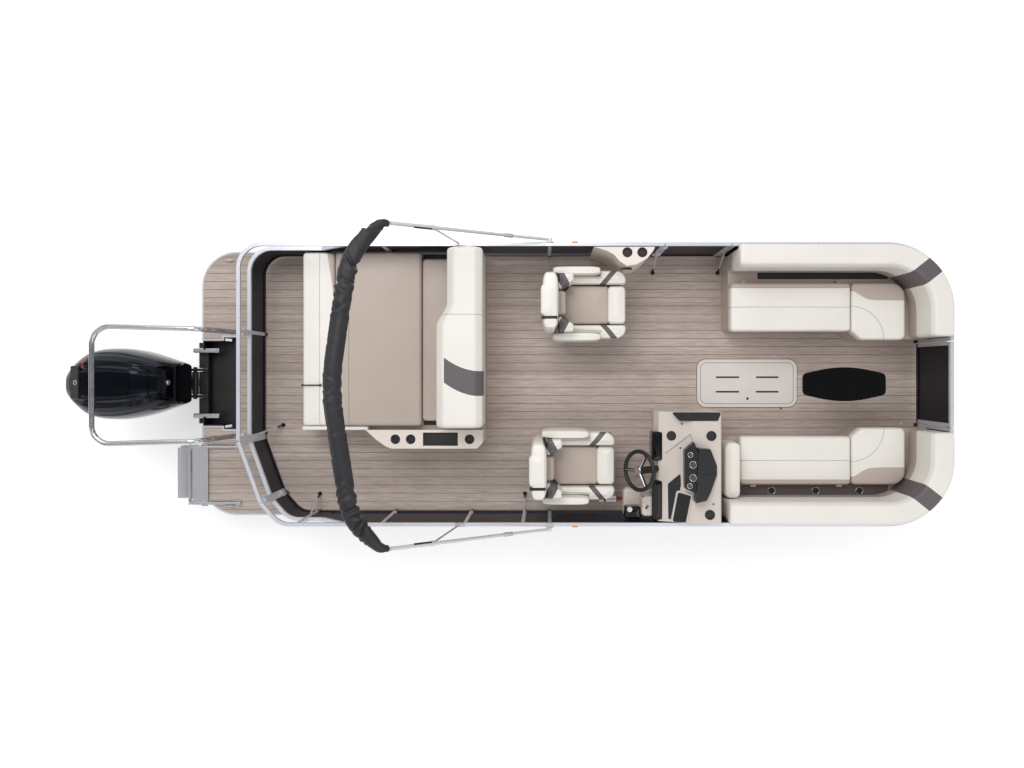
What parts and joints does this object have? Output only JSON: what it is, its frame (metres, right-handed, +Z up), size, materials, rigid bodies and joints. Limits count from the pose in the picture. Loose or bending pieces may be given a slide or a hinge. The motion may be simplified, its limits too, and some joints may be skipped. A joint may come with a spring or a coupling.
{
  "type": "pontoon boat",
  "caption": "Fenced pontoon boat on three tubes, with bow and aft lounges, helm, swivel chairs, stowed canopy, tow bar and tilting outboard motor.",
  "frame": {"origin": "on the waterline, on the centreline, at the middle of the deck's length", "axes": "+X to the bow, +Y to port, +Z up"},
  "size_m": [8.315, 2.6384, 2.9839],
  "materials": {
    "bare_aluminium": "satin",
    "white_rail": "satin powder coat",
    "dark_panel": "satin",
    "deck_mat": "matt, plank grain",
    "cream_vinyl": "satin",
    "taupe_vinyl": "satin",
    "cream_moulding": "satin",
    "black_plastic": "matt",
    "gloss_black": "gloss",
    "polished_tube": "polished",
    "canvas": "woven",
    "motor_paint": "satin",
    "engine_iron": "rough",
    "bottle_red": "gloss",
    "screw_steel": "satin"
  },
  "bodies": {
    "hull": {"aft_lounge_backrest": "cream_vinyl", "aft_lounge_base": "cream_moulding", "aft_lounge_cushion": "cream_vinyl", "aft_lounge_pad": "taupe_vinyl", "aft_side_console": "cream_moulding", "bow_arm_pad": "cream_vinyl", "bow_backrests": "cream_vinyl", "bow_corner_cushions": "cream_vinyl", "bow_lounge_bases": "taupe_vinyl", "canopy_mounts": "polished_tube", "chair_pedestals": "bare_aluminium", "cross_members": "bare_aluminium", "deck": "deck_mat", "deck_cleats": "polished_tube", "deck_trim": "bare_aluminium", "fence_frame_port_aft": "white_rail", "fence_frame_port_bow": "white_rail", "fence_frame_starboard": "white_rail", "fence_skin_port_aft": "dark_panel", "fence_skin_port_bow": "dark_panel", "fence_skin_starboard": "dark_panel", "fire_bottle": "bottle_red", "helm_console": "cream_moulding", "helm_dash": "black_plastic", "ladder_rails": "bare_aluminium", "locker_tub": "black_plastic", "motor_clamp": "motor_paint", "motor_well": "black_plastic", "pontoon_centre": "bare_aluminium", "pontoon_port": "bare_aluminium", "pontoon_starboard": "bare_aluminium", "side_console": "cream_moulding", "table_post": "bare_aluminium", "table_top": "gloss_black", "tow_bar": "polished_tube", "transom_pod": "bare_aluminium"},
    "bow_gate": {"gate_bow_frame": "white_rail", "gate_bow_skin": "dark_panel"},
    "port_gate": {"gate_port_frame": "white_rail", "gate_port_skin": "dark_panel"},
    "stern_gate": {"gate_stern_frame": "white_rail", "gate_stern_skin": "dark_panel"},
    "port_bench": {"bow_bench_port": "cream_vinyl"},
    "starboard_bench": {"bow_bench_starboard": "cream_vinyl"},
    "locker_hatch": {"locker_lid": "cream_moulding"},
    "helm_wheel": {"steering_wheel": "black_plastic"},
    "helm_seat": {"helm_chair_shell": "cream_vinyl", "helm_chair_seat": "taupe_vinyl"},
    "guest_seat": {"guest_chair_shell": "cream_vinyl", "guest_chair_seat": "taupe_vinyl"},
    "ladder_top": {"ladder_upper": "bare_aluminium"},
    "ladder_end": {"ladder_lower": "bare_aluminium"},
    "canopy": {"canopy_legs": "polished_tube", "canopy_boot": "canvas"},
    "motor_bracket": {"motor_swivel": "motor_paint"},
    "motor": {"motor_leg": "motor_paint", "motor_cowl": "gloss_black", "powerhead": "engine_iron"},
    "screw": {"propeller": "screw_steel"}
  },
  "joints": [
    {"name": "motor_tilt", "type": "hinge", "parent": "hull", "child": "motor_bracket", "pos_m": [-3.775, 0, 0.47], "axis": [0, 1, 0], "range_deg": [-4, 62]},
    {"name": "motor_steer", "type": "hinge", "parent": "motor_bracket", "child": "motor", "pos_m": [-3.88, 0, 0.25], "axis": [0, 0, 1], "range_deg": [-30, 30]},
    {"name": "propeller_spin", "type": "hinge", "parent": "motor", "child": "screw", "pos_m": [-4.2, 0, -0.372], "axis": [1, 0, 0], "continuous": true},
    {"name": "steering_wheel_turn", "type": "hinge", "parent": "hull", "child": "helm_wheel", "pos_m": [0.545, -0.761, 1.38], "axis": [-0.766, 0, 0.6428], "range_deg": [-630, 630]},
    {"name": "bow_gate_swing", "type": "hinge", "parent": "hull", "child": "bow_gate", "pos_m": [3.377, -0.387, 0.9], "axis": [0, 0, -1], "range_deg": [0, 100]},
    {"name": "port_gate_swing", "type": "hinge", "parent": "hull", "child": "port_gate", "pos_m": [0.786, 1.227, 0.9], "axis": [0, 0, -1], "range_deg": [0, 90]},
    {"name": "stern_gate_swing", "type": "hinge", "parent": "hull", "child": "stern_gate", "pos_m": [-2.80598, -1.04903, 0.9], "axis": [0, 0, -1], "range_deg": [0, 100]},
    {"name": "locker_lid_lift", "type": "hinge", "parent": "hull", "child": "locker_hatch", "pos_m": [1.695, 0.235, 0.592], "axis": [-1, 0, 0], "range_deg": [0, 95]},
    {"name": "port_bench_lift", "type": "hinge", "parent": "hull", "child": "port_bench", "pos_m": [2, 0.942, 0.95], "axis": [-1, 0, 0], "range_deg": [0, 80]},
    {"name": "starboard_bench_lift", "type": "hinge", "parent": "hull", "child": "starboard_bench", "pos_m": [2, -0.942, 0.95], "axis": [1, 0, 0], "range_deg": [0, 80]},
    {"name": "helm_seat_swivel", "type": "hinge", "parent": "hull", "child": "helm_seat", "pos_m": [-0.02, -0.755, 0.9], "axis": [0, 0, 1], "continuous": true},
    {"name": "guest_seat_swivel", "type": "hinge", "parent": "hull", "child": "guest_seat", "pos_m": [0.083, 0.73, 0.9], "axis": [0, 0, 1], "continuous": true},
    {"name": "ladder_top_fold", "type": "hinge", "parent": "hull", "child": "ladder_top", "pos_m": [-3.79, -0.9, 0.56], "axis": [0, 1, 0], "range_deg": [0, 190]},
    {"name": "ladder_end_fold", "type": "hinge", "parent": "ladder_top", "child": "ladder_end", "pos_m": [-3.9306, -0.9, 0.12727], "axis": [0, 1, 0], "range_deg": [-165, 0]},
    {"name": "canopy_raise", "type": "hinge", "parent": "hull", "child": "canopy", "pos_m": [-0.245, 0, 1.315], "axis": [0, 1, 0], "range_deg": [0, 75]}
  ],
  "couplings": [
    {"joint": "steering_wheel_turn", "follows": "motor_steer", "ratio": -21}
  ]
}
